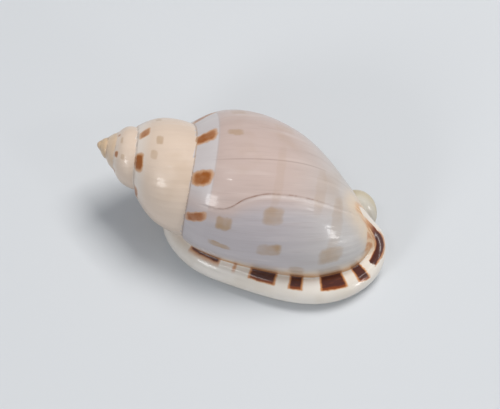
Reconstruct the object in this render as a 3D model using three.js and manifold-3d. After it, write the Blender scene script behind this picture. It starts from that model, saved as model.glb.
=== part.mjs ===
// A bonnet shell: a right-handed sea snail shell with a short pointed spire, a large
// smooth body whorl, a thick rolled outer lip with small teeth, and an open mouth that
// runs into a short, turned-up canal. It grew as one piece, so it is one solid.
//
// Millimetres, +Z up. The shell lies mouth down, with its canal towards +X, the point of
// its spire towards -X and its lip on the -Y side.

import * as THREE from 'three';
import { mergeVertices } from 'three/addons/utils/BufferGeometryUtils.js';
import Module from 'manifold-3d';

const wasm = await Module();
wasm.setup();

// How the shell lies
const SPIRE_LIFT = 10.8;              // degrees that the coiling axis rises towards the spire
const AXIS_MIDDLE = 33;               // distance from the spire's point to the turning centre
const AXIS_HEIGHT = 14.48;            // height of that centre above the surface
const LIP_ANGLE = 34;                 // degrees from -Y down to where the growth count is 0
const REST_TRIM = 0.25;               // what is worn off flat where the shell touches down
const FOOTPRINT_MIDDLE = { x: 0.164, y: -2.155 };

// Growth, by whorls counted back from the lip
const WHORLS = [-5, -3.5, -2.5, -2, -1.5, -1, -0.5, 0];
const WHORL_RADIUS = [1.25, 3.5, 5.75, 7.35, 9.8, 14.2, 15.76, 17.08];
const SUTURE_AT = [0.2, 1.7, 3.45, 4.75, 7.2, 11.2, 18.3, 23.2];
const FRONT_END_AT = [1.54, 5.5, 12.27, 19.98, 32.95, 45.5, 57.83, 64.4];
const FIRST_WHORL = -5.2;
const LAST_PIECE_FROM = -0.85;
const WHORL_PIECES = 5;
const PIECE_OVERLAP = 0.012;
const COARSE_BEFORE = -3;
const COARSE_STEPS = 12;
const WHORL_STEPS = 17;
const LAST_PIECE_STEPS = 21;
const CORE_SHARE = 0.04;

// Outline of a whorl from its suture to its front end, as shares of length and radius
const OUTLINE_PLACE = [0, 0.05, 0.12, 0.22, 0.34, 0.48, 0.62, 0.75, 0.86, 0.94, 1];
const OUTLINE_FIRST = [0.58, 0.65, 0.74, 0.85, 0.95, 1.01, 1, 0.88, 0.62, 0.34, 0.08];
const OUTLINE_YOUNG = [0.63, 0.75, 0.88, 0.975, 1.01, 0.975, 0.87, 0.69, 0.475, 0.28, 0.08];
const OUTLINE_LIP = [0.87, 0.925, 0.963, 0.99, 0.997, 0.992, 0.967, 0.9, 0.77, 0.6, 0.3];
const FIRST_OUTLINE = { until: -3.4, gone: -2.3 };
const LIP_OUTLINE_FROM = -0.5;

// Mouth: how far round, from -Y downwards, the lip's edge lies along the axis
const LIP_EDGE_AT = [18, 20, 25, 32, 40, 48, 55, 60, 63];
const LIP_EDGE_ANGLE = [72, 66, 47, 38, 32, 27, 24.5, 26, 40];
const WALL = 1.3;
const COLUMELLA_AT = [15, 30, 45, 56, 66];
const COLUMELLA_RADIUS = [2, 3.6, 4.2, 3.4, 2.4];
const HOLLOW_FROM = -1.15;
const HOLLOW_PLACE = [0.09, 0.16, 0.25, 0.36, 0.48, 0.6, 0.71, 0.81, 0.89];
const HOLLOW_PAST_LIP = 0.04;
const HOLLOW_LEAST = 0.3;
const HOLLOW_STEPS = 27;
const GLAZE = 0.25;
const CALLUS = 0.55;
const CALLUS_ROUND = { from: -1, full: -0.93, fading: -0.78, gone: -0.7 };
const CALLUS_LENGTH = { from: 0.2, full: 0.4, fading: 0.9, gone: 1 };

// Lip roll: x, y, height and radius along its middle line
const LIP_ROLL = [
  [-17.0, -3.8, 3.8, 1.3],
  [-15.2, -6.2, 3.4, 2.4],
  [-12.6, -9.5, 3.3, 3.1],
  [-6.9, -13.4, 3.4, 3.4],
  [1.0, -15.3, 3.4, 3.4],
  [9.2, -16.4, 3.4, 3.4],
  [16.8, -16.4, 3.4, 3.4],
  [23.6, -14.2, 3.4, 3.35],
  [28.4, -9.5, 3.6, 3.3],
  [30.0, -5.9, 5.4, 2.7],
  [29.8, -3.8, 8.2, 2.15],
  [28.3, -3.0, 11.4, 1.7],
  [26.5, -2.7, 14.4, 1.4],
  [24.5, -2.3, 16.9, 1.0],
];
const LIP_ROLL_STEPS = 34;
const BAR_SIDES = 10;

// Canal: x, y, height and radius of its floor, of the lobe on its far side and of the
// channel that is open towards the front
const CANAL_FLOOR = [
  [17.0, 0.2, 11.2, 3.2],
  [21.0, 0.6, 9.6, 4.0],
  [24.3, 1.7, 7.9, 3.6],
  [26.2, 2.4, 7.0, 2.6],
];
const CANAL_LOBE = [
  [17.0, 0.4, 10.6, 1.6],
  [21.0, 0.5, 8.4, 2.2],
  [24.5, 0.9, 6.8, 2.6],
  [26.6, 1.8, 6.8, 2.5],
  [26.8, 2.6, 8.6, 2.3],
  [25.6, 3.2, 10.6, 2.1],
  [24.2, 3.6, 12.0, 1.8],
];
const CANAL_CHANNEL = [
  [19.0, -6.6, 4.6, 3.0],
  [24.0, -4.4, 4.6, 2.7],
  [28.4, -2.0, 5.8, 2.2],
  [30.6, -0.8, 8.8, 1.6],
  [30.2, -0.4, 12.2, 1.3],
  [28.6, -0.4, 15.6, 1.1],
  [27.0, -0.4, 18.0, 0.9],
];
const CANAL_STEPS = { floor: 8, lobe: 12, channel: 15 };

// Teeth on the inner edge of the lip
const TOOTH_COUNT = 15;
const TOOTH_FROM = 0.24;
const TOOTH_TO = 0.7;
const TOOTH_SIZE = { length: 2.1, width: 0.55, height: 0.75 };
const TOOTH_INSET = 2.9;
const TOOTH_HEIGHT = 1.7;
const TOOTH_SIDES = { round: 6, across: 4 };

const GROUND_SIDE = 200;
const GROUND_DEPTH = 20;

const SHELL_COLOUR = 0xd9cfc4;
const MERGE_WITHIN = 1e-4;

// A smooth curve through given values, straight beyond its ends
function curveThrough(xs, ys) {
  const last = xs.length - 1;
  const bend = new Array(xs.length).fill(0);
  const carry = new Array(xs.length).fill(0);
  for (let i = 1; i < last; i += 1) {
    const before = xs[i] - xs[i - 1];
    const after = xs[i + 1] - xs[i];
    const turn = (ys[i + 1] - ys[i]) / after - (ys[i] - ys[i - 1]) / before;
    const pivot = 2 * (before + after) - before * carry[i - 1];
    carry[i] = after / pivot;
    bend[i] = (6 * turn - before * bend[i - 1]) / pivot;
  }
  for (let i = last - 1; i > 0; i -= 1) {
    bend[i] -= carry[i] * bend[i + 1];
  }
  const slopeAt = (i, j) => {
    const span = xs[j] - xs[i];
    return (ys[j] - ys[i]) / span - (span / 6) * (2 * bend[i] + bend[j]);
  };
  return (x) => {
    if (x <= xs[0]) {
      return ys[0] + (x - xs[0]) * slopeAt(0, 1);
    }
    if (x >= xs[last]) {
      return ys[last] + (x - xs[last]) * slopeAt(last, last - 1);
    }
    let i = 0;
    while (xs[i + 1] < x) {
      i += 1;
    }
    const span = xs[i + 1] - xs[i];
    const b = (x - xs[i]) / span;
    const a = 1 - b;
    const arch = (a ** 3 - a) * bend[i] + (b ** 3 - b) * bend[i + 1];
    return a * ys[i] + b * ys[i + 1] + (arch * span * span) / 6;
  };
}

function growth(values) {
  const curve = curveThrough(WHORLS, values.map(Math.log));
  return (whorl) => Math.exp(curve(whorl));
}

const whorlRadius = growth(WHORL_RADIUS);
const sutureAt = growth(SUTURE_AT);
const frontEndAt = growth(FRONT_END_AT);
const outlineFirst = curveThrough(OUTLINE_PLACE, OUTLINE_FIRST);
const outlineYoung = curveThrough(OUTLINE_PLACE, OUTLINE_YOUNG);
const outlineLip = curveThrough(OUTLINE_PLACE, OUTLINE_LIP);
const lipEdgeAngle = curveThrough(LIP_EDGE_AT, LIP_EDGE_ANGLE);
const columellaRadius = curveThrough(COLUMELLA_AT, COLUMELLA_RADIUS);
const { smoothstep, degToRad } = THREE.MathUtils;

// Where along the axis a share of a whorl's outline lies
function along(whorl, share) {
  return sutureAt(whorl) + (frontEndAt(whorl) - sutureAt(whorl)) * share;
}

function upAndDown(x, { from, full, fading, gone }) {
  return smoothstep(x, from, full) * (1 - smoothstep(x, fading, gone));
}

// Thin extra layer over the part of the last whorl but one that faces the mouth
function callus(whorl, share) {
  return CALLUS * upAndDown(whorl, CALLUS_ROUND) * upAndDown(share, CALLUS_LENGTH);
}

function outerRadius(whorl, share) {
  const lipShare = smoothstep(whorl, LIP_OUTLINE_FROM, 0);
  const firstShare = 1 - smoothstep(whorl, FIRST_OUTLINE.until, FIRST_OUTLINE.gone);
  const late = (1 - lipShare) * outlineYoung(share) + lipShare * outlineLip(share);
  const outline = (1 - firstShare) * late + firstShare * outlineFirst(share);
  return whorlRadius(whorl) * outline + callus(whorl, share);
}

function coreRadius(whorl) {
  return CORE_SHARE * whorlRadius(whorl);
}

// Radius of the whorl inside this one, at the same place along the axis
function whorlInside(whorl, axial) {
  const inner = whorl - 1;
  const share = (axial - sutureAt(inner)) / (frontEndAt(inner) - sutureAt(inner));
  return share < 1 ? outerRadius(inner, Math.max(share, 0)) : 0;
}

// From the coiling axis to the shell as it lies
function place(axial, radius, angle) {
  const round = degToRad(angle);
  const point = new THREE.Vector3(
    axial - AXIS_MIDDLE,
    -radius * Math.cos(round),
    -radius * Math.sin(round),
  );
  point.applyAxisAngle(new THREE.Vector3(0, 1, 0), degToRad(SPIRE_LIFT));
  return point.add(new THREE.Vector3(0, 0, AXIS_HEIGHT));
}

function angleOf(whorl) {
  return LIP_ANGLE + 360 * whorl;
}

function whorlAtLip(axial) {
  const within = THREE.MathUtils.clamp(axial, LIP_EDGE_AT[0], LIP_EDGE_AT.at(-1));
  return (lipEdgeAngle(within) - LIP_ANGLE) / 360;
}

// Part of the way from a growth count to the lip's edge
function towardsLip(share, from, part, beyond) {
  const end = whorlAtLip(along(0, share)) + beyond;
  return from + (end - from) * part;
}

function toManifold(geometry) {
  const bare = geometry.clone();
  bare.deleteAttribute('normal');
  bare.deleteAttribute('uv');
  const merged = mergeVertices(bare, MERGE_WITHIN);
  return new wasm.Manifold(new wasm.Mesh({
    numProp: 3,
    vertProperties: new Float32Array(merged.attributes.position.array),
    triVerts: new Uint32Array(merged.index.array),
  }));
}

// A closed solid through a row of rings with the same even number of points
function loft(rings) {
  const count = rings[0].length;
  const index = [];
  for (let row = 0; row + 1 < rings.length; row += 1) {
    for (let k = 0; k < count; k += 1) {
      const a = row * count + k;
      const b = row * count + ((k + 1) % count);
      index.push(a, b, b + count, a, b + count, a + count);
    }
  }
  const end = (rings.length - 1) * count;
  for (let k = 0; k < count / 2 - 1; k += 1) {
    const across = count - 1 - k;
    index.push(k, across - 1, k + 1, k, across, across - 1);
    index.push(end + k, end + k + 1, end + across - 1, end + k, end + across - 1, end + across);
  }
  const geometry = new THREE.BufferGeometry();
  geometry.setFromPoints(rings.flat());
  geometry.setIndex(index);
  return toManifold(geometry);
}

// A ring between an outer line and an inner line of a whorl's section
function section(shares, whorlAt, outer, inner) {
  const outside = shares.map((share) => {
    const whorl = whorlAt(share);
    return place(along(whorl, share), outer(whorl, share), angleOf(whorl));
  });
  const inside = shares.map((share) => {
    const whorl = whorlAt(share);
    return place(along(whorl, share), inner(whorl, share), angleOf(whorl));
  });
  return [...inside, ...outside.reverse()];
}

function spread(from, to, count) {
  return Array.from({ length: count }, (_, i) => from + ((to - from) * i) / (count - 1));
}

function joined(solids) {
  return solids.reduce((sum, solid) => sum.add(solid));
}

// Whorls, in pieces of less than a turn that overlap a little
function buildWhorls() {
  const ends = spread(FIRST_WHORL, LAST_PIECE_FROM, WHORL_PIECES + 1);
  const pieces = ends.slice(1).map((to, i) => {
    const steps = to < COARSE_BEFORE ? COARSE_STEPS : WHORL_STEPS;
    return loft(spread(ends[i], to + PIECE_OVERLAP, steps + 1).map((whorl) => section(
      OUTLINE_PLACE,
      () => whorl,
      outerRadius,
      coreRadius,
    )));
  });
  return joined(pieces);
}

// The last piece runs out to the lip's slanting edge
function buildLastPiece() {
  return loft(spread(0, 1, LAST_PIECE_STEPS + 1).map((part) => section(
    OUTLINE_PLACE,
    (share) => towardsLip(share, LAST_PIECE_FROM, part, 0),
    outerRadius,
    coreRadius,
  )));
}

function hollowOuter(whorl, share) {
  const radius = outerRadius(whorl, share) - WALL;
  const inner = hollowInner(whorl, share);
  return Math.max(radius, inner + HOLLOW_LEAST);
}

function hollowInner(whorl, share) {
  const axial = along(whorl, share);
  return Math.max(whorlInside(whorl, axial) + GLAZE, columellaRadius(axial));
}

// The space inside, from the mouth back through more than a whole turn
function buildHollow() {
  return loft(spread(0, 1, HOLLOW_STEPS + 1).map((part) => section(
    HOLLOW_PLACE,
    (share) => towardsLip(share, HOLLOW_FROM, part, HOLLOW_PAST_LIP),
    hollowOuter,
    hollowInner,
  )));
}

// A round bar of changing radius along a line of points
function bar(stations, steps) {
  const curve = new THREE.CatmullRomCurve3(
    stations.map(([x, y, z]) => new THREE.Vector3(x, y, z)),
    false,
    'centripetal',
  );
  const radius = curveThrough(stations.map((_, i) => i), stations.map((station) => station[3]));
  const rings = spread(0, 1, steps).map((part) => {
    const middle = curve.getPoint(part);
    const ahead = curve.getTangent(part);
    const side = new THREE.Vector3(0, 0, 1).cross(ahead).normalize();
    const up = ahead.clone().cross(side);
    const size = radius(part * (stations.length - 1));
    return Array.from({ length: BAR_SIDES }, (_, k) => {
      const turn = (2 * Math.PI * (k + 0.5)) / BAR_SIDES;
      return middle.clone()
        .addScaledVector(side, -size * Math.sin(turn))
        .addScaledVector(up, size * Math.cos(turn));
    });
  });
  return loft(rings);
}

function buildTeeth() {
  const curve = new THREE.CatmullRomCurve3(
    LIP_ROLL.map(([x, y, z]) => new THREE.Vector3(x, y, z)),
    false,
    'centripetal',
  );
  const teeth = spread(TOOTH_FROM, TOOTH_TO, TOOTH_COUNT).map((part) => {
    const middle = curve.getPoint(part);
    const ahead = curve.getTangent(part);
    const inward = new THREE.Vector3(0, 0, 1).cross(ahead).normalize();
    const tooth = new THREE.SphereGeometry(1, TOOTH_SIDES.round, TOOTH_SIDES.across);
    tooth.scale(TOOTH_SIZE.length, TOOTH_SIZE.width, TOOTH_SIZE.height);
    tooth.rotateZ(Math.atan2(inward.y, inward.x));
    const centre = middle.addScaledVector(inward, TOOTH_INSET);
    tooth.translate(centre.x, centre.y, TOOTH_HEIGHT);
    return toManifold(tooth);
  });
  return joined(teeth);
}

function buildShell() {
  let shell = joined([buildWhorls(), buildLastPiece(), bar(LIP_ROLL, LIP_ROLL_STEPS)]);
  shell = shell.add(bar(CANAL_FLOOR, CANAL_STEPS.floor));
  shell = shell.add(bar(CANAL_LOBE, CANAL_STEPS.lobe));
  shell = shell.subtract(buildHollow());
  shell = shell.subtract(bar(CANAL_CHANNEL, CANAL_STEPS.channel));
  shell = shell.add(buildTeeth());
  const ground = new THREE.BoxGeometry(GROUND_SIDE, GROUND_SIDE, GROUND_DEPTH);
  ground.translate(0, 0, REST_TRIM - GROUND_DEPTH / 2);
  return shell.subtract(toManifold(ground));
}

function toMesh(solid) {
  const { vertProperties, triVerts } = solid.getMesh();
  const geometry = new THREE.BufferGeometry();
  geometry.setAttribute('position', new THREE.BufferAttribute(vertProperties, 3));
  geometry.setIndex(new THREE.BufferAttribute(triVerts, 1));
  geometry.translate(-FOOTPRINT_MIDDLE.x, -FOOTPRINT_MIDDLE.y, -REST_TRIM);
  geometry.computeVertexNormals();
  const material = new THREE.MeshStandardMaterial({
    color: SHELL_COLOUR,
    roughness: 0.25,
    metalness: 0,
  });
  const mesh = new THREE.Mesh(geometry, material);
  mesh.name = 'shell';
  return mesh;
}

const group = new THREE.Group();
group.add(toMesh(buildShell()));

export default group;
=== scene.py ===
import math

import bpy
import numpy as np
from mathutils import Matrix, Vector


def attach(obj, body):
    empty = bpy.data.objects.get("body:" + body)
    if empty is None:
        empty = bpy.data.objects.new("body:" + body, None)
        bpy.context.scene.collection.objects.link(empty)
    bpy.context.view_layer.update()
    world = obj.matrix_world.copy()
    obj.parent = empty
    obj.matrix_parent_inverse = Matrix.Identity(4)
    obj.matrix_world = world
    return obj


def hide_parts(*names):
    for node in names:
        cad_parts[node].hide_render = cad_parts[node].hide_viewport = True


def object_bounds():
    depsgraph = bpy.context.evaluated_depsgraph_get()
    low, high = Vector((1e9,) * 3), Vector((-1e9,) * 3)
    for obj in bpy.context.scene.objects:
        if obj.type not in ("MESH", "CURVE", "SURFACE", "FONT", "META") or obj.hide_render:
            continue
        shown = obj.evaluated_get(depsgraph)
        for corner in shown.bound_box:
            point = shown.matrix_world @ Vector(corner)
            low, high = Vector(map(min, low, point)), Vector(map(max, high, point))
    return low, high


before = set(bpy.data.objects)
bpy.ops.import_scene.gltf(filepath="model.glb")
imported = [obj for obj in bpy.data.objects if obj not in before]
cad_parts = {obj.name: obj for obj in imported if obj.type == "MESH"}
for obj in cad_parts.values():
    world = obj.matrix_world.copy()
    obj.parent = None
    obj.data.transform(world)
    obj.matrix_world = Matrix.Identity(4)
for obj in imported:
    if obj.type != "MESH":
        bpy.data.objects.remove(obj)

cad_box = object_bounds()

# The shell as it lies
# One bonnet shell lies mouth down on a level surface. It touches down along the underside
# of its rolled lip and on the belly of its last whorl, with the spire raised a little.
MM = 0.001
SPIRE_LIFT = math.radians(10.8)
AXIS_MIDDLE = 33.0
AXIS_HEIGHT = 14.48
REST_TRIM = 0.25
FOOTPRINT_MIDDLE = np.array([0.164, -2.155])
LIP_ANGLE = 34.0


def to_axis(points):
    """From the shell as it lies to distance along the axis, radius and angle."""
    x, y, z = (points + np.array([*FOOTPRINT_MIDDLE, REST_TRIM - AXIS_HEIGHT])).T
    along = x * math.cos(SPIRE_LIFT) - z * math.sin(SPIRE_LIFT) + AXIS_MIDDLE
    up = x * math.sin(SPIRE_LIFT) + z * math.cos(SPIRE_LIFT)
    return along, np.hypot(y, up), np.degrees(np.arctan2(-up, -y))


# Whorls
# The wall that the animal laid down at the edge of its mouth while it grew, turn by turn.
# It is aragonite, thin and smooth, and each turn is glued to the one before at the suture.
# Growth is counted in turns: 0 at the lip, and less towards the tip.
WHORLS = [-5, -3.5, -2.5, -2, -1.5, -1, -0.5, 0]
WHORL_RADIUS = [1.25, 3.5, 5.75, 7.35, 9.8, 14.2, 15.76, 17.08]
SUTURE_AT = [0.2, 1.7, 3.45, 4.75, 7.2, 11.2, 18.3, 23.2]
FRONT_END_AT = [1.54, 5.5, 12.27, 19.98, 32.95, 45.5, 57.83, 64.4]
OUTLINE_PLACE = [0, 0.05, 0.12, 0.22, 0.34, 0.48, 0.62, 0.75, 0.86, 0.94, 1]
OUTLINE_YOUNG = [0.63, 0.75, 0.88, 0.975, 1.01, 0.975, 0.87, 0.69, 0.475, 0.28, 0.08]
OUTLINE_FIRST = [0.58, 0.65, 0.74, 0.85, 0.95, 1.01, 1.0, 0.88, 0.62, 0.34, 0.08]
OUTLINE_LIP = [0.87, 0.925, 0.963, 0.99, 0.997, 0.992, 0.967, 0.9, 0.77, 0.6, 0.3]
LIP_OUTLINE_FROM = -0.5
FIRST_OUTLINE = (-3.4, -2.3)
WRAP_AT = 0.15
TURNS_BACK = 6
SHOULDER_SLOPE = 3.0
FRONT_SLOPE = 2.5
SUTURE_FILLET = 0.16
CALLUS = 0.55
CALLUS_ROUND = (-1.0, -0.93, -0.78, -0.7)
CALLUS_LENGTH = (0.2, 0.4, 0.9, 1)
REST_SHARE = [0, 0.1, 0.2, 0.24, 0.27, 0.32, 0.37, 0.44, 0.52, 0.62, 0.73, 0.85, 1]
REST_WHORL = [
    -0.19, -0.196, -0.206, -0.219, -0.2315, -0.245, -0.255,
    -0.263, -0.269, -0.273, -0.273, -0.272, -0.262,
]
REST_LENGTH = (0.04, 0.12, 0.86, 0.97)
REST_STEP = 0.13
REST_STEP_FADES = 0.012
RIPPLE = 0.045
RIPPLE_EVERY = 0.0115
RIPPLE_FADES = 0.03
GROWTH_LEAN = 0.1
FOLD_DEPTH = 0.012
FOLDS_EVERY = (0.031, 0.0193)
BAND_EDGE = 0.108
BAND_GROOVE = 0.03
BAND_GROOVE_WIDE = 0.012
TIP_AT = 0.62
TIP_RADIUS = 0.9
TIP_FILLET = 0.3
OPEN_AXIS = (60.5, 3.6)
OPEN_FILLET = 0.5
CURVE_STEPS = 4000
SLOPE_STEP = 0.01
BEYOND_FRONT = 4.0
FAR = 50.0


def curve_through(xs, ys, low, high):
    """A natural cubic through the given values, straight beyond its ends, from low to high."""
    xs = np.asarray(xs, float)
    ys = np.asarray(ys, float)
    span = np.diff(xs)
    slope = np.diff(ys) / span
    inner = len(xs) - 2
    pull = np.zeros((inner, inner))
    for i in range(inner):
        pull[i, i] = 2 * (span[i] + span[i + 1])
        if i:
            pull[i, i - 1] = span[i]
        if i + 1 < inner:
            pull[i, i + 1] = span[i + 1]
    bend = np.concatenate([[0], np.linalg.solve(pull, 6 * np.diff(slope)), [0]])
    x = np.linspace(low, high, CURVE_STEPS)
    i = np.clip(np.searchsorted(xs, x) - 1, 0, len(span) - 1)
    b = (x - xs[i]) / span[i]
    a = 1 - b
    arch = (a ** 3 - a) * bend[i] + (b ** 3 - b) * bend[i + 1]
    y = a * ys[i] + b * ys[i + 1] + arch * span[i] ** 2 / 6
    first = slope[0] - span[0] * bend[1] / 6
    last = slope[-1] + span[-1] * bend[-2] / 6
    y = np.where(x < xs[0], ys[0] + (x - xs[0]) * first, y)
    y = np.where(x > xs[-1], ys[-1] + (x - xs[-1]) * last, y)
    return lambda place: np.interp(place, x, y)


def growth(values):
    curve = curve_through(WHORLS, np.log(values), -TURNS_BACK - 1, WRAP_AT)
    return lambda whorl: np.exp(curve(whorl))


def ease(x, low, high):
    """A smooth step from 0 at low to 1 at high."""
    step = np.clip((x - low) / (high - low), 0, 1)
    return step * step * (3 - 2 * step)


def up_and_down(x, rises, up, falls, down):
    return ease(x, rises, up) * (1 - ease(x, falls, down))


def smooth_max(a, b, round_by):
    blend = np.clip(0.5 + 0.5 * (a - b) / round_by, 0, 1)
    return b + (a - b) * blend + round_by * blend * (1 - blend)


def smooth_min(a, b, round_by):
    return -smooth_max(-a, -b, round_by)


rest_line = curve_through(REST_SHARE, REST_WHORL, 0, 1)
whorl_radius = growth(WHORL_RADIUS)
suture_at = growth(SUTURE_AT)
front_end_at = growth(FRONT_END_AT)
outline_young = curve_through(OUTLINE_PLACE, OUTLINE_YOUNG, 0, 1)
outline_first = curve_through(OUTLINE_PLACE, OUTLINE_FIRST, 0, 1)
outline_lip = curve_through(OUTLINE_PLACE, OUTLINE_LIP, 0, 1)


def share_of(whorl, along):
    """Where along a whorl's outline a place along the axis lies, from suture to front."""
    suture = suture_at(whorl)
    return (along - suture) / (front_end_at(whorl) - suture)


def wall_radius(whorl, along):
    """Outer radius of one whorl, falling away steeply beyond its two ends."""
    suture = suture_at(whorl)
    front = front_end_at(whorl)
    share = np.clip((along - suture) / (front - suture), 0, 1)
    lip = ease(whorl, LIP_OUTLINE_FROM, 0)
    first = ease(whorl, FIRST_OUTLINE[1], FIRST_OUTLINE[0])
    outline = (1 - lip) * outline_young(share) + lip * outline_lip(share)
    outline = (1 - first) * outline + first * outline_first(share)
    callus = CALLUS * up_and_down(whorl, *CALLUS_ROUND) * up_and_down(share, *CALLUS_LENGTH)
    beyond = SHOULDER_SLOPE * np.maximum(suture - along, 0)
    beyond = beyond + FRONT_SLOPE * np.maximum(along - front, 0)
    return whorl_radius(whorl) * outline + callus - beyond + growth_relief(whorl, share)


def growth_relief(whorl, share):
    """The rest line, where growth stopped for a while, the ripples after it, and fine folds."""
    since = whorl - rest_line(share)
    fade = up_and_down(share, *REST_LENGTH)
    old_edge = REST_STEP * np.exp(np.minimum(since, 0) / REST_STEP_FADES)
    old_edge = old_edge * (1 - ease(since, -0.002, 0.003))
    ripples = np.sin(2 * math.pi * since / RIPPLE_EVERY)
    ripples = RIPPLE * ripples * np.exp(-np.maximum(since, 0) / RIPPLE_FADES)
    ripples = ripples * ease(since, 0, 0.006) * ease(share, 0.25, 0.5)
    wave = 2 * math.pi * (whorl + GROWTH_LEAN * share)
    folds = np.sin(wave / FOLDS_EVERY[0]) + np.sin(wave / FOLDS_EVERY[1] + 1)
    folds = FOLD_DEPTH * folds * ease(share, 0.02, 0.2) * ease(whorl, -3, -1.5)
    groove = BAND_GROOVE * np.exp(-((share - BAND_EDGE) / BAND_GROOVE_WIDE) ** 2)
    groove = groove * ease(whorl, -1.2, -0.8) * ease(whorl, -0.17, -0.24)
    return (old_edge + ripples) * fade + folds - groove


def newest_whorl(angle):
    """Growth count of the newest turn that could lie at an angle round the axis."""
    whorl = (angle - LIP_ANGLE) / 360
    return np.where(whorl > WRAP_AT, whorl - 1, whorl)


# Lip roll
# The grown-up animal thickened the edge of its mouth into a heavy rounded roll. Its rear
# end climbs a little way on to the whorl before, and its front end rises beside the canal.
# Each bar is given by x, y, height and radius at stations along it.
LIP_EDGE_AT = [18, 20, 25, 32, 40, 48, 55, 60, 63]
LIP_EDGE_ANGLE = [72, 66, 47, 38, 32, 27, 24.5, 26, 40]
LIP_ROLL = [
    (-17.0, -3.8, 3.8, 1.3),
    (-15.2, -6.2, 3.4, 2.4),
    (-12.6, -9.5, 3.3, 3.1),
    (-6.9, -13.4, 3.4, 3.4),
    (1.0, -15.3, 3.4, 3.4),
    (9.2, -16.4, 3.4, 3.4),
    (16.8, -16.4, 3.4, 3.4),
    (23.6, -14.2, 3.4, 3.35),
    (28.4, -9.5, 3.6, 3.3),
    (30.0, -5.9, 5.4, 2.7),
    (29.8, -3.8, 8.2, 2.15),
    (28.3, -3.0, 11.4, 1.6),
    (26.5, -2.7, 14.4, 1.2),
    (24.5, -2.3, 16.9, 0.8),
]
LIP_FILLET = 0.7
FLANGE_FILLET = 1.1
FLANGE_FROM = (8.3, 9.6)
LIP_PIECES = 90

lip_edge_angle = curve_through(LIP_EDGE_AT, LIP_EDGE_ANGLE, LIP_EDGE_AT[0], LIP_EDGE_AT[-1])


def whorl_at_lip(along):
    return (lip_edge_angle(along) - LIP_ANGLE) / 360


class Bar:
    """A round bar of changing radius along a smooth line, as a distance field."""

    REACH = 6.0
    RUN = 5

    def __init__(self, stations, pieces):
        stations = np.array(stations, float)
        stations[:, :2] -= FOOTPRINT_MIDDLE
        stations[:, 2] -= REST_TRIM
        at = np.arange(len(stations))
        self.place = np.linspace(0, at[-1], pieces + 1)
        curves = [curve_through(at, column, 0, at[-1]) for column in stations.T]
        self.line = np.stack([curve(self.place) for curve in curves], 1)

    def distance(self, points):
        """Distance to the bar's skin, and the place along it, for points within reach."""
        best = np.full(len(points), FAR)
        place = np.zeros(len(points))
        for first in range(0, len(self.line) - 1, self.RUN):
            run = self.line[first:first + self.RUN + 1]
            wide = run[:, 3].max() + self.REACH
            low = run[:, :3].min(0) - wide
            high = run[:, :3].max(0) + wide
            near = np.nonzero(np.all((points > low) & (points < high), 1))[0]
            if not len(near):
                continue
            some = points[near]
            nearest = best[near]
            spot = place[near]
            for i in range(len(run) - 1):
                step = run[i + 1] - run[i]
                away = some - run[i, :3]
                part = np.clip(away @ step[:3] / (step[:3] @ step[:3]), 0, 1)
                away -= part[:, None] * step[:3]
                skin = np.sqrt(np.einsum("ij,ij->i", away, away)) - run[i, 3] - part * step[3]
                closer = skin < nearest
                nearest = np.where(closer, skin, nearest)
                ends = self.place[first + i:first + i + 2]
                spot = np.where(closer, ends[0] + part * (ends[1] - ends[0]), spot)
            best[near] = nearest
            place[near] = spot
        return best, place

    def turn(self, points, place):
        """Angle round the bar in degrees: 0 is the top, and more is towards the shell's axis."""
        run = np.gradient(self.line[:, :3], axis=0)
        run /= np.sqrt((run ** 2).sum(1))[:, None]
        tops = np.zeros_like(run)
        start = len(run) // 3
        for order in (range(start, len(run)), range(start, -1, -1)):
            top = np.array([0.0, 0.0, 1.0])
            for i in order:
                top = top - (top @ run[i]) * run[i]
                top = top / np.sqrt(top @ top)
                tops[i] = top
        sides = np.cross(tops, run)

        def at(columns):
            return np.stack([np.interp(place, self.place, column) for column in columns.T], 1)

        away = points - at(self.line[:, :3])
        inward = (away * at(sides)).sum(1)
        return np.degrees(np.arctan2(inward, (away * at(tops)).sum(1)))


lip_roll = Bar(LIP_ROLL, LIP_PIECES)


# Canal
# A short trough at the front for the breathing tube. Its floor carries on from the
# columella, its far side is a blunt lobe that stands up behind the body whorl, and the
# front end of the lip is its near side.
CANAL_FLOOR = [
    (17.0, 0.2, 11.2, 3.2),
    (21.0, 0.6, 9.6, 4.0),
    (23.6, 1.9, 7.8, 3.1),
    (24.8, 2.8, 7.2, 1.6),
]
INNER_LIP = [
    (5.0, 0.4, 2.4, 0.9),
    (10.0, 0.5, 2.8, 1.6),
    (16.0, 1.0, 3.3, 2.1),
    (21.0, 1.9, 4.3, 2.3),
    (24.2, 2.9, 6.2, 2.1),
    (25.2, 3.5, 8.8, 1.6),
]
LOBE_MIDDLE = (25.5, 2.6, 7.9)
LOBE_HALF = (3.7, 5.4)
LOBE_THICK = 2.9
LOBE_ROUND = 2.0
LOBE_FILLET = 2.8
LOBE_LEAN = math.radians(-17)
LOBE_TILT = math.radians(23)
CANAL_CHANNEL = [
    (19.0, -6.6, 4.6, 3.0),
    (24.0, -4.4, 4.6, 2.7),
    (28.4, -2.0, 5.8, 2.2),
    (30.6, -0.8, 8.8, 1.6),
    (30.2, -0.4, 12.2, 1.3),
    (28.6, -0.4, 15.6, 1.1),
    (27.0, -0.4, 18.0, 0.9),
]
CANAL_FILLET = 1.4
CHANNEL_FILLET = 0.5

PIECES = {"floor": 16, "inner lip": 25, "channel": 36}

canal_floor = Bar(CANAL_FLOOR, PIECES["floor"])
inner_lip = Bar(INNER_LIP, PIECES["inner lip"])
canal_channel = Bar(CANAL_CHANNEL, PIECES["channel"])


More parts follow.
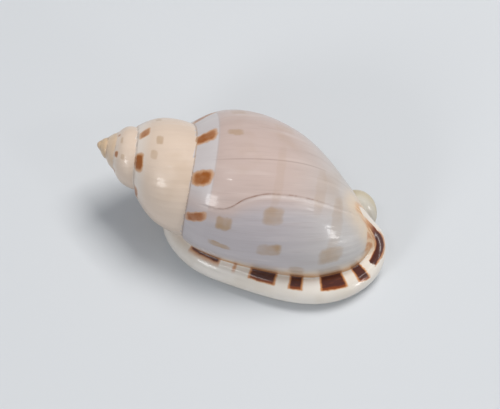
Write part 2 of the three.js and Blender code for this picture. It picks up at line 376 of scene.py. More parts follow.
def lobe_distance(points):
    """Distance, roughly, to the blunt lobe, an oval plate, and how far out on its face."""
    x, y, z = (points + np.array([*FOOTPRINT_MIDDLE, REST_TRIM]) - np.array(LOBE_MIDDLE)).T
    through = y * math.cos(LOBE_TILT) - z * math.sin(LOBE_TILT)
    z = y * math.sin(LOBE_TILT) + z * math.cos(LOBE_TILT)
    across = (x * math.cos(LOBE_LEAN) - z * math.sin(LOBE_LEAN)) / LOBE_HALF[0]
    up = (x * math.sin(LOBE_LEAN) + z * math.cos(LOBE_LEAN)) / LOBE_HALF[1]
    out = np.hypot(across, up) + 1e-9
    oval = out * (out - 1) / (np.hypot(across / LOBE_HALF[0], up / LOBE_HALF[1]) + 1e-9)
    return smooth_max(oval, np.abs(through) - LOBE_THICK / 2, LOBE_ROUND), out


# Mouth
# The space that the animal lived in. It narrows as it winds back round the columella,
# with small teeth along the inner edge of the lip and low folds on the columella.
WALL = 1.3
GLAZE = 0.25
COLUMELLA_AT = [15, 30, 45, 56, 66]
COLUMELLA_RADIUS = [2, 3.6, 4.2, 3.4, 2.4]
HOLLOW_FADES = (-1.55, -1.25)
HOLLOW_SHUT_BY = 6.0
HOLLOW_FILLET = 0.5
FRONT_WALL = 3.5
COLUMELLA_FILLET = 1.0
MOUTH_EDGE_FILLET = 0.25
TOOTH_COUNT = 17
TOOTH_FROM = 2.7
TOOTH_TO = 8.3
TOOTH_START = (0.5, 0.8)
TOOTH_END = (1.0, 0.35)
TOOTH_RADIUS = 0.42
FOLD = 0.3
FOLD_EVERY = 2.6
FOLD_PITCH = 9.0
FOLDS_FROM = 36
FOLDS_FULL = 44
TOOTH_FILLET = 0.35
TEETH_BELOW = 4.5
REST_FILLET = 0.15

columella_radius = curve_through(COLUMELLA_AT, COLUMELLA_RADIUS, 0, 75)


def lip_teeth():
    """Short round ridges from the underside of the lip in to its inner edge."""
    teeth = []
    for place in np.linspace(TOOTH_FROM, TOOTH_TO, TOOTH_COUNT):
        x, y, z, size = (np.interp(place, lip_roll.place, column) for column in lip_roll.line.T)
        ahead = [np.interp(place + 0.1, lip_roll.place, lip_roll.line[:, k]) for k in range(2)]
        run = np.array(ahead) - (x, y)
        inward = np.array([-run[1], run[0]]) / np.hypot(*run)
        ends = []
        for across, down in (TOOTH_START, TOOTH_END):
            ends.append(np.array([*((x, y) + across * size * inward), z - down * size]))
        teeth.append(ends)
    return teeth


TEETH = lip_teeth()


def shell_layers(points):
    """Distances to the parts of the shell, and where each point is on the growth spiral."""
    along, radius, angle = to_axis(points)
    newest = newest_whorl(angle)
    past_lip = (newest - whorl_at_lip(along)) * 2 * math.pi * radius
    walls = []
    for back in range(TURNS_BACK):
        wall = np.full(len(points), -FAR)
        near = np.nonzero(along < front_end_at(WRAP_AT - back) + BEYOND_FRONT)[0]
        wall[near] = wall_radius(newest[near] - back, along[near])
        walls.append(wall)
    older = walls[1]
    for wall in walls[2:]:
        older = smooth_max(older, wall, SUTURE_FILLET)
    newer = np.where(past_lip > 0, older, smooth_max(walls[0], older, SUTURE_FILLET))
    body = np.minimum(np.maximum(radius - newer, past_lip), radius - older)
    tip = np.sqrt((along - TIP_AT) ** 2 + radius ** 2) - TIP_RADIUS
    body = smooth_min(body, tip, TIP_FILLET)
    body = smooth_max(body, np.minimum(along - OPEN_AXIS[0], OPEN_AXIS[1] - radius), OPEN_FILLET)
    roll, place = lip_roll.distance(points)
    # the hollow of the newest turn and of the one before
    hollow = np.full(len(points), FAR)
    for back in (0, 1):
        whorl = newest - back
        fold = np.sin(2 * math.pi * (along - FOLD_PITCH * angle / 360) / FOLD_EVERY)
        fold = FOLD * fold * ease(whorl, -0.35, -0.05) * ease(along, FOLDS_FROM, FOLDS_FULL)
        inner = smooth_max(walls[back + 1] + GLAZE, columella_radius(along) + fold, COLUMELLA_FILLET)
        outer = walls[back] - WALL - HOLLOW_SHUT_BY * (1 - ease(whorl, *HOLLOW_FADES))
        this = smooth_max(radius - outer, inner - radius, HOLLOW_FILLET)
        this = smooth_max(this, along - front_end_at(whorl) + FRONT_WALL, HOLLOW_FILLET)
        hollow = np.minimum(hollow, this)
    lobe, lobe_out = lobe_distance(points)
    canal = smooth_min(canal_floor.distance(points)[0], lobe, LOBE_FILLET)
    canal = smooth_min(canal, inner_lip.distance(points)[0], LOBE_FILLET)
    return {
        "along": along, "radius": radius, "newest": newest, "past_lip": past_lip, "walls": walls,
        "body": body, "roll": roll, "place": place, "hollow": hollow, "canal": canal,
        "channel": canal_channel.distance(points)[0], "lobe_out": lobe_out,
    }


def shell_field(points):
    """Signed distance, roughly, to the shell's skin: less than 0 inside the shell wall."""
    layers = shell_layers(points)
    fillet = LIP_FILLET + FLANGE_FILLET * ease(layers["place"], *FLANGE_FROM)
    solid = smooth_min(layers["body"], layers["roll"], fillet)
    solid = smooth_max(solid, -layers["hollow"], MOUTH_EDGE_FILLET)
    solid = smooth_min(solid, layers["canal"], CANAL_FILLET)
    solid = smooth_max(solid, -layers["channel"], CHANNEL_FILLET)
    near = np.nonzero(points[:, 2] < TEETH_BELOW)[0]
    if len(near):
        some = points[near]
        ridge = np.full(len(near), FAR)
        for start, end in TEETH:
            run = end - start
            part = np.clip((some - start) @ run / (run @ run), 0, 1)
            away = some - start - part[:, None] * run
            ridge = np.minimum(ridge, np.sqrt((away ** 2).sum(1)) - TOOTH_RADIUS)
        solid[near] = smooth_min(solid[near], ridge, TOOTH_FILLET)
    return smooth_max(solid, -points[:, 2], REST_FILLET)


def field_and_slope(points):
    here = shell_field(points)
    sides = SLOPE_STEP * np.eye(3)
    return here, np.stack([(shell_field(points + side) - here) / SLOPE_STEP for side in sides], 1)


CELL = 0.42
COARSE = 4
BATCHES = 12
SKIN_MARGIN = 1.5
SKIN_STEPS = 2
STEP_LIMIT = 0.3 * CELL


def sample_field(low, high, cell, coarse=COARSE):
    """The field on a grid of points, worked out finely only near the skin."""
    blocks = np.ceil((high - low) / (cell * coarse)).astype(int)
    nodes = blocks * coarse + 1
    axes = [low[k] + cell * np.arange(nodes[k]) for k in range(3)]
    rough_axes = [axis[::coarse] for axis in axes]
    rough = np.stack(np.meshgrid(*rough_axes, indexing="ij"), -1).reshape(-1, 3)
    rough_values = shell_field(rough).reshape(blocks + 1)
    close = np.abs(rough_values) < cell * coarse * 2
    block = np.zeros(blocks, bool)
    sign_seen = np.zeros(blocks, int)
    for i in (0, 1):
        for j in (0, 1):
            for k in (0, 1):
                part = (slice(i, blocks[0] + i), slice(j, blocks[1] + j), slice(k, blocks[2] + k))
                block |= close[part]
                sign_seen += rough_values[part] < 0
    block |= (sign_seen > 0) & (sign_seen < 8)
    values = np.repeat(np.repeat(np.repeat(rough_values, coarse, 0), coarse, 1), coarse, 2)
    values = values[:nodes[0], :nodes[1], :nodes[2]].astype(float)
    wanted = np.zeros(nodes, bool)
    for i, j, k in np.argwhere(block):
        wanted[i * coarse:i * coarse + coarse + 1,
               j * coarse:j * coarse + coarse + 1,
               k * coarse:k * coarse + coarse + 1] = True
    where = np.argwhere(wanted)
    points = low + cell * where
    values[wanted] = np.concatenate([shell_field(part) for part in np.array_split(points, BATCHES)])
    # a single point of air shut in on all sides is filled
    air = values > 0
    open_to = np.zeros(air.shape, bool)
    for axis in range(3):
        open_to |= np.roll(air, 1, axis) | np.roll(air, -1, axis)
    return np.where(air & ~open_to, -cell / 10, values)


def skin_of(values, low, cell):
    """Points and four-sided faces of the skin where the gridded field changes sign."""
    inside = values < 0
    cells = np.array(values.shape) - 1
    corner_sum = np.zeros(cells, int)
    offsets = [(i, j, k) for i in (0, 1) for j in (0, 1) for k in (0, 1)]

    def corner(array, offset):
        return array[tuple(slice(o, o + n) for o, n in zip(offset, cells))]

    for offset in offsets:
        corner_sum += corner(inside, offset)
    active = (corner_sum > 0) & (corner_sum < 8)
    number = np.full(cells, -1)
    number[active] = np.arange(active.sum())
    where = np.argwhere(active).astype(float)
    total = np.zeros((len(where), 3))
    count = np.zeros(len(where))
    for axis in range(3):
        for offset in offsets:
            if offset[axis]:
                continue
            other = tuple(o + (k == axis) for k, o in enumerate(offset))
            a = corner(values, offset)[active]
            b = corner(values, other)[active]
            cut = (a < 0) != (b < 0)
            share = np.where(cut, a / np.where(cut, a - b, 1), 0)
            spot = np.array(offset, float) + share[:, None] * np.eye(3)[axis]
            total += np.where(cut[:, None], spot, 0)
            count += cut
    points = low + cell * (where + total / count[:, None])
    faces = []
    for axis in range(3):
        u, v = (axis + 1) % 3, (axis + 2) % 3
        size = list(values.shape)
        first = [slice(1, n - 1) for n in size]
        first[axis] = slice(0, size[axis] - 1)
        second = list(first)
        second[axis] = slice(1, size[axis])
        a = inside[tuple(first)]
        b = inside[tuple(second)]
        edges = np.argwhere(a != b)
        flip = a[a != b]
        edges = edges + np.array([0 if k == axis else 1 for k in range(3)])
        around = []
        for du, dv in ((-1, -1), (0, -1), (0, 0), (-1, 0)):
            shift = np.zeros(3, int)
            shift[u] = du
            shift[v] = dv
            around.append(number[tuple((edges + shift).T)])
        quad = np.stack(around, 1)
        quad = np.where(flip[:, None], quad, quad[:, ::-1])
        faces.append(quad)
    return points, np.concatenate(faces)


lowest = np.array(cad_box[0]) / MM - SKIN_MARGIN
highest = np.array(cad_box[1]) / MM + SKIN_MARGIN
values = sample_field(lowest, highest, CELL)
skin_points, skin_faces = skin_of(values, lowest, CELL)
for _ in range(SKIN_STEPS):
    away, slope = field_and_slope(skin_points)
    steep = np.maximum((slope ** 2).sum(1), 0.05)
    move = (away / steep)[:, None] * slope
    length = np.maximum(np.sqrt((move ** 2).sum(1)), 1e-9)
    skin_points -= move * np.minimum(1, STEP_LIMIT / length)[:, None]
_, slope = field_and_slope(skin_points)
skin_normals = slope / np.maximum(np.sqrt((slope ** 2).sum(1)), 1e-9)[:, None]
mesh = bpy.data.meshes.new("bonnet_shell")
mesh.from_pydata((skin_points * MM).tolist(), [], skin_faces.tolist())
mesh.polygons.foreach_set("use_smooth", np.ones(len(mesh.polygons), bool))
mesh.update()
mesh.normals_split_custom_set_from_vertices(skin_normals.tolist())
shell = bpy.data.objects.new("bonnet_shell", mesh)
bpy.context.collection.objects.link(shell)
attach(shell, "root")
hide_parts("shell")

# each corner of a face counts as part of the newest whorl that reaches the face
layers = shell_layers(skin_points)
walls = np.stack(layers["walls"])
walls[0] = np.where(layers["past_lip"] > 0.3, -FAR, walls[0])
back_of = np.argmin(np.abs(walls - layers["radius"]), 0)
face_whorl = (layers["newest"] - back_of)[skin_faces].max(1)
corner_newest = layers["newest"][skin_faces]
corner_along = layers["along"][skin_faces]
corner_whorl = corner_newest + np.round(face_whorl[:, None] - corner_newest)
corner_share = share_of(corner_whorl, corner_along)
step_up = wall_radius(corner_whorl, corner_along) - wall_radius(corner_whorl - 1, corner_along)


def keep(name, values, domain="POINT"):
    """Keeps one number for each point or face corner of the mesh, for the finish to read."""
    kept = mesh.attributes.new(name, "FLOAT", domain)
    kept.data.foreach_set("value", np.ravel(values).astype(np.float32))


keep("whorl", corner_whorl, "CORNER")
keep("share", corner_share, "CORNER")
keep("step_up", np.clip(step_up, -2, 2), "CORNER")
keep("since_rest", corner_whorl - rest_line(np.clip(corner_share, 0, 1)), "CORNER")
keep("lip_gap", np.clip(layers["body"] - layers["roll"], -3, 3))
keep("lip_near", np.clip(layers["roll"], -1, 6))
keep("lip_place", layers["place"])
keep("lip_turn", lip_roll.turn(skin_points, layers["place"]))
keep("inside", np.clip(-layers["hollow"] - layers["body"], -1.3, 1.3))
nearest_wall = np.minimum(layers["body"], layers["roll"])
keep("canal_gap", np.clip(nearest_wall - layers["canal"], -2, 2))
keep("lobe_out", layers["lobe_out"])


class Value:
    """A number, colour or vector in the finish, which sums can be written with."""

    def __init__(self, tree, socket=None):
        self.tree = tree
        self.socket = socket

    def node(self, kind, settings, inputs, output=0):
        made = self.tree.nodes.new(kind)
        for name, setting in settings.items():
            setattr(made, name, setting)
        for name, value in inputs.items():
            if isinstance(value, Value):
                self.tree.links.new(value.socket, made.inputs[name])
            else:
                made.inputs[name].default_value = value
        return Value(self.tree, made.outputs[output])

    def sum(self, operation, *values):
        return self.node("ShaderNodeMath", {"operation": operation}, dict(enumerate(values)))

    def __add__(self, other):
        return self.sum("ADD", self, other)

    __radd__ = __add__

    def __sub__(self, other):
        return self.sum("SUBTRACT", self, other)

    def __rsub__(self, other):
        return self.sum("SUBTRACT", other, self)

    def __mul__(self, other):
        return self.sum("MULTIPLY", self, other)

    __rmul__ = __mul__

    def __abs__(self):
        return self.sum("ABSOLUTE", self)

    def rise(self, low, high):
        """0 below low, 1 above high and smooth between, or the reverse where high is less."""
        ends = {"From Min": min(low, high), "From Max": max(low, high), "Value": self}
        ends.update({"To Min": float(low > high), "To Max": float(low < high)})
        return self.node("ShaderNodeMapRange", {"interpolation_type": "SMOOTHSTEP"}, ends)

    def patch(self, low, high, soft):
        """1 between low and high, 0 outside them, with soft edges."""
        return self.rise(low - soft, low + soft) * self.rise(high + soft, high - soft)

    def blend(self, first, second, share):
        return self.node("ShaderNodeMix", {"data_type": "RGBA"}, {0: share, 6: first, 7: second}, 2)

    def over(self, colour, mask):
        """This colour with another painted over it where the mask says."""
        return self.blend(self, colour, mask)


def tone(red, green, blue):
    """A colour from its values on a screen, 0 to 255."""
    shares = [value / 255 for value in (red, green, blue)]
    return (*[v / 12.92 if v < 0.04 else ((v + 0.055) / 1.055) ** 2.4 for v in shares], 1)


SPIRE_CREAM = tone(214, 194, 176)
APEX_TAN = tone(205, 178, 146)
BODY_PINK = tone(192, 172, 164)
BODY_LILAC = tone(180, 173, 176)
BAND_WHITE = tone(198, 192, 192)
FRONT_PALE = tone(188, 184, 180)
CREASE_CREAM = tone(220, 198, 170)
SUTURE_TAN = tone(172, 145, 118)
SPOT_BROWN = tone(150, 84, 24)
SPOT_EDGE = tone(190, 136, 84)
FAINT_TAN = tone(164, 130, 86)
FAINT_LINE = tone(150, 128, 118)
YOUNG_BAND = tone(222, 214, 206)
GROWTH_DARK = tone(150, 132, 124)
GROWTH_LIGHT = tone(240, 228, 220)
GROWTH_LINE = tone(140, 120, 112)
# pale colour of the painted highlight along the ridge just after the rest line
REST_BROWN = tone(136, 96, 74)
PAINTED_REST_HIGHLIGHT = tone(232, 222, 218)
SECOND_REST = tone(136, 114, 104)
CREASE_TAN = tone(200, 152, 106)
CREASE_BROWN = tone(150, 90, 44)
LIP_IVORY = tone(226, 219, 210)
LIP_MOTTLE = tone(216, 205, 190)
BAR_DARK = tone(76, 36, 26)
BAR_EDGE = tone(126, 58, 14)
BAR_TAN = tone(198, 140, 88)
CURL_OUTER = tone(188, 130, 82)
CURL_TAN = tone(196, 138, 88)
MOUTH_WHITE = tone(230, 217, 203)
MOUTH_DEEP = tone(196, 164, 140)
LOBE_GREY = tone(204, 199, 187)
LOBE_EDGE = tone(188, 176, 150)
LOBE_LINE = tone(176, 164, 136)
FLANGE_TAN = tone(214, 178, 138)
FLANGE_BROWN = tone(188, 126, 80)
RELIEF_DEPTH = 0.07 * MM

finish = bpy.data.materials.new("glazed shell")
finish.use_nodes = True
tree = finish.node_tree
shader = tree.nodes["Principled BSDF"]
start = Value(tree)


def read(name):
    return start.node("ShaderNodeAttribute", {"attribute_name": name}, {}, 2)


def noise(scale, detail=2.0, place=None):
    inputs = {"Scale": scale, "Detail": detail}
    inputs["Vector"] = place or start.node("ShaderNodeTexCoord", {}, {}, 3)
    return start.node("ShaderNodeTexNoise", {}, inputs)


def plane(across, along):
    return start.node("ShaderNodeCombineXYZ", {}, {0: across, 1: along})


whorl, share = read("whorl"), read("share")
mottle = noise(110.0)
grain = noise(700.0)
line = whorl + GROWTH_LEAN * share
growth_bands = noise(1.0, 3.0, plane(line * 45, share * 2.5))
growth_lines = noise(1.0, 2.0, plane(line * 420, share * 4))
spiral_lines = noise(1.0, 2.0, plane(line * 6, share * 90))

# the wall of the whorls
paint = start.blend(APEX_TAN, SPIRE_CREAM, whorl.rise(-4.2, -2.2))
paint = paint.over(BODY_PINK, whorl.rise(-1.04, -0.9))
since_rest = read("since_rest")
paint = paint.over(BODY_LILAC, since_rest.rise(-0.004, 0.05) * 0.95)
paint = paint.over(FRONT_PALE, share.rise(0.4, 0.9) * whorl.rise(-0.9, -0.6) * 0.85)
flecks = mottle.rise(0.52, 0.72) * share.rise(0.1, 0.3) * whorl.rise(-0.1, -0.3)
paint = paint.over(FAINT_TAN, flecks * 0.18)
band = share.rise(BAND_EDGE + 0.01, BAND_EDGE - 0.008) * whorl.rise(-1.05, -0.95)
paint = paint.over(BAND_WHITE, band * (1 - 0.9 * whorl.rise(-0.24, -0.16)) * 0.9)
young_band = share.rise(0.1, 0.0) * whorl.rise(-0.95, -1.05) * whorl.rise(-3, -1.5)
paint = paint.over(YOUNG_BAND, young_band * 0.7)
band_line = share.patch(BAND_EDGE - 0.002, BAND_EDGE + 0.004, 0.004)
paint = paint.over(FAINT_LINE, band_line * whorl.rise(-1.1, -0.9) * whorl.rise(-0.16, -0.24) * 0.22)

# growth lines, the line where growth rested, and a painted highlight just after it
on_body = whorl.rise(-1.1, -0.9)
paint = paint.over(GROWTH_DARK, growth_bands.rise(0.52, 0.75) * (0.06 + 0.08 * on_body))
paint = paint.over(GROWTH_LIGHT, growth_bands.rise(0.48, 0.25) * (0.06 + 0.06 * on_body))
fine_lines = growth_lines.rise(0.55, 0.8) * share.rise(0.08, 0.2) * whorl.rise(-1.2, -0.8)
paint = paint.over(GROWTH_LINE, fine_lines * 0.22)
broken = noise(1.0, 2.0, plane(share * 22, 0.0)).rise(0.45, 0.6)
rest_mask = since_rest.patch(-0.0016, 0.0012, 0.0018) * share.rise(0.1, 0.26) * share.rise(0.82, 0.68)
paint = paint.over(REST_BROWN, rest_mask * (0.2 + 0.4 * share.rise(0.42, 0.32) + 0.35 * broken))
# painted highlight: a pale band just after the rest line, standing in for light catching the ridge of
# the old edge
painted_rest_highlight = since_rest.patch(0.004, 0.008, 0.004) * share.patch(0.3, 0.85, 0.1)
paint = paint.over(PAINTED_REST_HIGHLIGHT, painted_rest_highlight * 0.5)
second_rest = line.patch(-0.2925, -0.2905, 0.0015) * share.patch(0.12, 0.7, 0.08)
paint = paint.over(SECOND_REST, second_rest * 0.45)

# spots
wobble = noise(900.0) - 0.5
sway = noise(260.0) - 0.5
# whorl, share, half length, half width, lean and strength of each
SPOTS = [
    (-0.155, 0.052, 0.011, 0.046, 0.3, 0.85), (-0.252, 0.05, 0.016, 0.047, 0.16, 1.0),
    (-0.368, 0.044, 0.017, 0.043, 0.22, 0.95), (-0.5, 0.05, 0.016, 0.048, 0.2, 0.9),
    (-0.63, 0.05, 0.015, 0.047, 0.2, 0.9), (-0.75, 0.05, 0.016, 0.045, 0.2, 0.85),
    (-0.87, 0.05, 0.015, 0.046, 0.2, 0.9), (-0.98, 0.04, 0.016, 0.04, 0.2, 0.9),
    (-1.09, 0.008, 0.03, 0.018, 0.0, 0.8), (-1.236, 0.02, 0.033, 0.028, 0.1, 1.0),
    (-1.37, 0.035, 0.02, 0.032, 0.3, 0.85), (-1.51, 0.025, 0.024, 0.028, 0.1, 0.8),
    (-1.64, 0.02, 0.022, 0.026, 0.1, 0.8), (-1.79, 0.02, 0.024, 0.028, 0.1, 0.75),
    (-1.93, 0.02, 0.022, 0.026, 0.1, 0.7), (-2.07, 0.02, 0.02, 0.024, 0.1, 0.7),
    (-2.228, 0.034, 0.02, 0.026, 0.1, 0.85), (-2.39, 0.03, 0.014, 0.022, 0.0, 0.5),
    (-2.6, 0.03, 0.014, 0.022, 0.0, 0.5), (-2.8, 0.03, 0.014, 0.022, 0.0, 0.5),
]
FAINT_SPOTS = [
    (-0.17, 0.2, 0.014, 0.036, 0.1, 0.85), (-0.108, 0.197, 0.0075, 0.052, 0.0, 0.75),
    (-0.137, 0.457, 0.014, 0.056, 0.1, 0.8), (-0.217, 0.443, 0.016, 0.045, 0.1, 0.55),
    (-0.085, 0.62, 0.013, 0.034, 0.0, 0.45), (-0.141, 0.777, 0.022, 0.052, 0.1, 0.55),
    (-0.23, 0.78, 0.06, 0.026, 0.2, 0.25), (-0.3, 0.44, 0.06, 0.022, 0.3, 0.16),
    (-0.3, 0.67, 0.05, 0.026, 0.3, 0.2), (-0.38, 0.19, 0.008, 0.035, 0.0, 0.5),
    (-0.47, 0.21, 0.013, 0.036, 0.1, 0.3), (-0.44, 0.46, 0.014, 0.05, 0.1, 0.2),
    (-0.6, 0.2, 0.013, 0.036, 0.1, 0.3), (-0.58, 0.45, 0.014, 0.05, 0.1, 0.25),
    (-0.5, 0.75, 0.016, 0.05, 0.1, 0.25), (-0.74, 0.2, 0.013, 0.036, 0.1, 0.3),
    (-0.72, 0.46, 0.014, 0.05, 0.1, 0.25), (-0.66, 0.75, 0.016, 0.05, 0.1, 0.25),
    (-1.279, 0.12, 0.012, 0.022, 0.0, 0.4), (-1.332, 0.15, 0.014, 0.022, 0.0, 0.5),
    (-1.45, 0.14, 0.012, 0.02, 0.0, 0.35), (-1.6, 0.15, 0.014, 0.022, 0.0, 0.35),
    (-2.23, 0.16, 0.014, 0.03, 0.0, 0.4), (-2.33, 0.1, 0.02, 0.02, 0.0, 0.35),
]
wavy_whorl = whorl + wobble * 0.008 + sway * 0.012
wavy_share = share + wobble * 0.016 + sway * 0.024


def blots(spots, outer, inner):
    """A mask of rounded oblong spots, whose edges fade from outer to inner."""
    most = None
    for place, middle, half, wide, lean, strength in spots:
        a = (wavy_whorl + (share - middle) * lean - place) * (1 / half)
        b = (wavy_share - middle) * (1 / wide)
        size = a * a * a * a + b * b * b * b
        one = size.rise(outer, inner) * strength
        most = one if most is None else most.sum("MAXIMUM", most, one)
    return most


paint = paint.over(FAINT_TAN, blots(FAINT_SPOTS, 3.0, 0.01) * (0.55 + 0.6 * mottle + 1.4 * sway))
paint = paint.over(SPOT_EDGE, blots(SPOTS, 3.2, 0.7) * 0.85)
paint = paint.over(SPOT_BROWN, blots(SPOTS, 1.1, 0.08) * (0.6 + 0.7 * grain + 1.2 * sway))

# suture, and the older whorl below it
step_up = read("step_up")
paint = paint.over(SUTURE_TAN, step_up.patch(-0.5, 0.1, 0.1) * (0.3 + 0.35 * whorl.rise(-1.2, -0.9)))

# the crease beside the lip roll
lip_near, lip_place, lip_turn = read("lip_near"), read("lip_place"), read("lip_turn")
BARS = [(2.72, 3.62), (3.98, 4.07), (4.43, 5.17), (5.53, 5.94), (6.43, 7.18), (7.5, 7.93)]
CURL_FROM = 8.36


def lip_bars(inset, soft):
    most = None
    for first, last in BARS:
        bar = (lip_place + wobble * 0.05).patch(first + inset, last - inset, soft)
        most = bar if most is None else most.sum("MAXIMUM", most, bar)
    return most


bars = lip_bars(0, 0.03)
bar_hearts = lip_bars(0.055, 0.035)
tan_crease = lip_near.rise(3.0, 0.7) * (0.75 + 1.4 * sway) * lip_place.rise(9.8, 9.0)
paint = paint.over(CREASE_CREAM, lip_near.rise(5.4, 0.8) * (0.7 + 1.2 * sway))
paint = paint.over(CREASE_TAN, tan_crease)
paint = paint.over(CREASE_BROWN, lip_near.rise(1.7, 0.3) * bars * 0.8)
folds = noise(1.0, 2.0, plane(lip_turn * 0.1, lip_place * 0.7)).rise(0.42, 0.58)
valley_edge = 2.8 - 2.1 * lip_place.rise(10.2, 12.0)
valley = lip_place.rise(8.8, 9.8) * (valley_edge - lip_near).rise(-0.5, 0.5)
paint = paint.over(FLANGE_TAN, valley * 0.9)
paint = paint.over(FLANGE_BROWN, valley * folds * 0.75)

# the bars on the lip roll, of which the first fades slowly downwards
roll = start.blend(LIP_IVORY, LIP_MOTTLE, mottle.rise(0.4, 0.8))
ragged = lip_turn + wobble * 7 + sway * 6
lower = ragged + 6 * lip_place.rise(6.5, 7.3) + 20 * lip_place.rise(7.3, 7.9)
streaks = noise(1.0, 2.0, plane(lip_turn * 0.12, lip_place * 3.0)).rise(0.55, 0.7)
is_first = lip_place.rise(4.2, 4.15)
others = 1 - is_first
tan_part = lower.rise(-40, -33) * others + lower.rise(-44, -18) * is_first * 0.8
edge_part = lower.rise(-36, -30) * others + lower.rise(-24, -15) * is_first
dark_part = lower.rise(-28, -20) * others + lower.rise(-19, -14) * is_first
roll = roll.over(BAR_TAN, bars * tan_part)
roll = roll.over(BAR_EDGE, bar_hearts * edge_part)
roll = roll.over(BAR_DARK, bar_hearts * dark_part * (1 - 0.4 * streaks))

# the dark curl round the roll's front end, and the tan flange inside it
curl = lip_place.rise(CURL_FROM - 0.03, CURL_FROM + 0.05)
curl_middle = -28 - 31 * lip_place.rise(8.3, 10.3)
curl_wide = 15 + 9 * lip_place.rise(8.4, 9.6)
curl_half = curl_wide - 7 * lip_place.rise(10.2, 11.0) - 9 * lip_place.rise(11.0, 12.0)
inward = ragged - curl_middle
inside_curl = curl_half - abs(inward)
flange = lip_place.rise(9.3, 10.1) * inward.rise(-6, 14)
roll = roll.over(CREASE_CREAM, lip_place.rise(8.2, 9.2) * inward.rise(0, 24) * 0.8)
roll = roll.over(FLANGE_TAN, flange * 0.9)
roll = roll.over(FLANGE_BROWN, flange * folds * 0.8)
outer = (inward + curl_half + 14 * lip_place.rise(8.2, 9.0)).rise(-5, 3) * inward.rise(0, -10)
roll = roll.over(CURL_OUTER, curl * lip_place.rise(11.0, 10.2) * outer * 0.85)
roll = roll.over(CURL_TAN, curl * lip_place.rise(12.6, 11.8) * inside_curl.rise(-7, -1) * 0.85)
roll = roll.over(BAR_EDGE, curl * lip_place.rise(11.9, 10.9) * inside_curl.rise(-4, 1))
curl_dark = curl * inside_curl.rise(-1, 5) * lip_place.rise(11.3, 10.5)
roll = roll.over(BAR_DARK, curl_dark * (1 - 0.3 * streaks))
on_roll = read("lip_gap").rise(-0.08, 0.08)
paint = paint.over(roll, on_roll)

# the mouth and the canal
on_canal = read("canal_gap").rise(-0.2, 0.3)
lobe_out = read("lobe_out")
lobe_lines = noise(1.0, 2.0, plane(lobe_out * 26, 0.0)).rise(0.5, 0.7)
canal = start.blend(LOBE_GREY, LOBE_EDGE, lobe_out.rise(0.85, 1.05))
canal = canal.over(LOBE_LINE, lobe_lines * 0.15)
canal = canal.over(MOUTH_WHITE, lobe_out.rise(1.15, 1.5))
paint = paint.over(canal, on_canal)
in_mouth = read("inside").rise(-0.25, 0.25)
paint = paint.over(start.blend(MOUTH_WHITE, MOUTH_DEEP, whorl.rise(-0.1, -0.6)), in_mouth)

tree.links.new(paint.socket, shader.inputs["Base Color"])
gloss = 0.24 + 0.1 * mottle + 0.08 * growth_lines
tree.links.new(gloss.socket, shader.inputs["Roughness"])
shader.inputs["Coat Weight"].default_value = 0.35
shader.inputs["Coat Roughness"].default_value = 0.08
shader.inputs["IOR"].default_value = 1.5
on_wall = (1 - on_roll) * (1 - in_mouth) * (1 - on_canal)
relief = growth_lines * 0.5 + growth_bands * 0.5 * whorl.rise(-1.3, -0.9)
relief = (relief + spiral_lines * 0.25 * share.rise(0.3, 0.1)) * on_wall + grain * 0.15
bump_inputs = {"Height": relief, "Strength": 1.0, "Distance": RELIEF_DEPTH}
bump = start.node("ShaderNodeBump", {}, bump_inputs)
tree.links.new(bump.socket, shader.inputs["Normal"])
mesh.materials.append(finish)

# Floor, light and camera
# A plain pale floor in soft studio light, seen from above the lip as in the photo.
CAMERA_ROUND = math.radians(11.96)
CAMERA_UP = math.radians(60.0)
CAMERA_AWAY = 300.0
PIXEL = 0.218
FRAME_WIDTH = 500
AXIS_SPOT = Vector((*-FOOTPRINT_MIDDLE, AXIS_HEIGHT - REST_TRIM))
OFF_CENTRE = (5.0, 19.2)
SENSOR = 36
FLOOR_HALF = 1.5
LAMPS_FACE = Vector((0, 0, 0.015))

floor_mesh = bpy.data.meshes.new("floor")
corners = [(-FLOOR_HALF, -FLOOR_HALF, 0), (FLOOR_HALF, -FLOOR_HALF, 0)]
corners += [(FLOOR_HALF, FLOOR_HALF, 0), (-FLOOR_HALF, FLOOR_HALF, 0)]
floor_mesh.from_pydata(corners, [], [(0, 1, 2, 3)])
floor = bpy.data.objects.new("floor", floor_mesh)
bpy.context.collection.objects.link(floor)
floor_finish = bpy.data.materials.new("pale floor")
floor_finish.use_nodes = True
floor_base = floor_finish.node_tree.nodes["Principled BSDF"]
floor_base.inputs["Base Color"].default_value = (0.62, 0.64, 0.66, 1)
floor_base.inputs["Roughness"].default_value = 0.7
floor_mesh.materials.append(floor_finish)

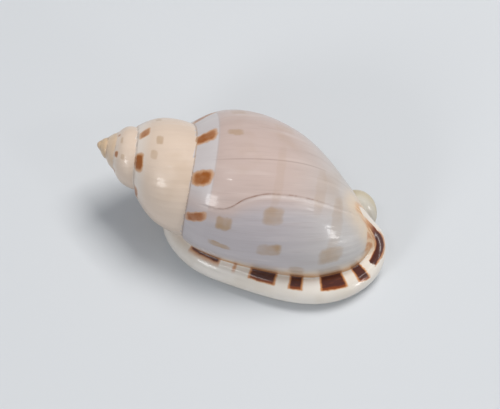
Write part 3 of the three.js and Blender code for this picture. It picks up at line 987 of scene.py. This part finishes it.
level = math.cos(CAMERA_UP)
back = Vector((math.sin(CAMERA_ROUND) * level, -math.cos(CAMERA_ROUND) * level, math.sin(CAMERA_UP)))
right = Vector((0, 0, 1)).cross(back).normalized()
upward = back.cross(right)
place = (AXIS_SPOT + back * CAMERA_AWAY) * MM
aim = -back * CAMERA_AWAY + right * OFF_CENTRE[0] * PIXEL - upward * OFF_CENTRE[1] * PIXEL
aim = aim.normalized()
camera_data = bpy.data.cameras.new("camera")
camera_data.sensor_width = SENSOR
camera_data.lens = SENSOR * CAMERA_AWAY / (PIXEL * FRAME_WIDTH)
camera = bpy.data.objects.new("camera", camera_data)
bpy.context.collection.objects.link(camera)
side = aim.cross(upward).normalized()
top = side.cross(aim)
turn = Matrix((side, top, -aim)).transposed().to_4x4()
camera.matrix_world = Matrix.Translation(place) @ turn
bpy.context.scene.camera = camera


def softbox(name, round_by, up, away, size, power, colour=(1, 1, 1), seen_in_gloss=True):
    """A soft rectangular lamp that faces the shell, placed by its direction from the shell."""
    light = bpy.data.lights.new(name, "AREA")
    light.shape = "RECTANGLE"
    light.size, light.size_y = size
    light.energy = power
    light.color = colour
    lamp = bpy.data.objects.new(name, light)
    bpy.context.collection.objects.link(lamp)
    round_by, up = math.radians(round_by), math.radians(up)
    level = math.cos(up)
    lamp.location = away * Vector((math.cos(round_by) * level, math.sin(round_by) * level, math.sin(up)))
    lamp.rotation_euler = (LAMPS_FACE - lamp.location).to_track_quat("-Z", "Y").to_euler()
    lamp.visible_glossy = seen_in_gloss


softbox("main light", 52, 70, 0.7, (0.34, 0.28), 3.9, (1, 0.975, 0.95), seen_in_gloss=False)
softbox("left window", -122, 29, 0.6, (0.15, 0.17), 0.75)
softbox("right window", -26, 6, 0.6, (0.08, 0.2), 0.6)
softbox("low window", -18, 41, 0.6, (0.05, 0.05), 0.12)
softbox("front window", -117, 66, 0.6, (0.06, 0.04), 0.12)
world = bpy.data.worlds.new("studio")
world.use_nodes = True
world.node_tree.nodes["Background"].inputs["Color"].default_value = (0.86, 0.92, 1, 1)
world.node_tree.nodes["Background"].inputs["Strength"].default_value = 0.3
bpy.context.scene.world = world
# colours come out as they are, without a film look
bpy.context.scene.view_settings.view_transform = "Standard"
